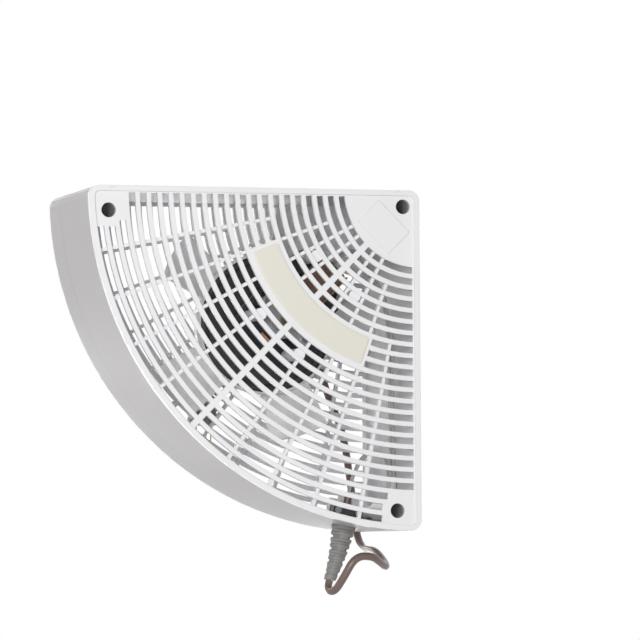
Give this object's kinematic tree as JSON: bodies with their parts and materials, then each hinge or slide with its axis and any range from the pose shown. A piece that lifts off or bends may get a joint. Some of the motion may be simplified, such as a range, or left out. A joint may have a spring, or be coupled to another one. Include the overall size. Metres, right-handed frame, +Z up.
{
  "type": "doorway fan",
  "caption": "Quarter-round fan that fixes in the upper corner of a door opening and moves air between rooms through ring-slotted grilles, with a shaded-pole motor and a corded plug.",
  "frame": {"origin": "middle of the two fixing holes, on the outer face of the head wall", "axes": "+Z up, square to the head face; +X towards the door jamb; the front grille faces -Y"},
  "size_m": [0.2798, 0.1732, 0.3408],
  "materials": {
    "white_shell": "satin moulded white",
    "grey_casing": "fine-textured light grey",
    "cream_label": "satin cream plate",
    "steel_screw": "dark zinc",
    "lamination": "stacked varnished sheet",
    "copper": "bare copper",
    "former_nylon": "browned nylon",
    "coil_wrap": "brown varnished wrap",
    "die_cast": "die cast",
    "bronze": "oiled sintered bronze",
    "grommet_rubber": "black rubber",
    "rotor_steel": "ground steel",
    "washer_nylon": "nylon",
    "charcoal_hub": "matt charcoal",
    "white_blade": "satin moulded white",
    "grey_relief": "soft grey vinyl",
    "grey_cord": "grey vinyl jacket",
    "white_tie": "nylon strap",
    "grey_plug": "moulded grey vinyl",
    "pin_brass": "plated brass",
    "lead_grey": "grey vinyl insulation",
    "cap_white": "nylon crimp cap",
    "clamp_black": "black nylon"
  },
  "bodies": {
    "housing": {"front_grille": "white_shell", "casing": "grey_casing", "rear_grille": "grey_casing", "label_plate": "cream_label", "grille_screws": "steel_screw", "bracket_screws": "steel_screw", "bracket_nuts": "steel_screw", "mount_screws": "steel_screw", "clamp_screws": "steel_screw", "motor_stack": "lamination", "shading_rings": "copper", "motor_bobbin": "former_nylon", "motor_coil_wrap": "coil_wrap", "front_bracket": "die_cast", "rear_bracket": "die_cast", "front_bush": "bronze", "rear_bush": "bronze", "mount_grommets": "grommet_rubber", "strain_relief": "grey_relief", "power_cord": "grey_cord", "cord_coil": "grey_cord", "plug_lead": "grey_cord", "cord_tail": "grey_cord", "cord_tie": "white_tie", "plug_body": "grey_plug", "plug_pins": "pin_brass", "supply_leads": "lead_grey", "motor_leads": "lead_grey", "wire_caps": "cap_white", "cord_clamp": "clamp_black"},
    "rotor": {"rotor_core": "rotor_steel", "cage_rings": "die_cast", "motor_shaft": "rotor_steel", "thrust_washers": "washer_nylon", "fan_hub": "charcoal_hub", "hub_clip": "steel_screw", "blade_ring": "white_blade"}
  },
  "joints": [
    {"name": "propeller_spin", "type": "hinge", "parent": "housing", "child": "rotor", "pos_m": [0.0335, -0.016, -0.1065], "axis": [0, 1, 0], "continuous": true}
  ]
}
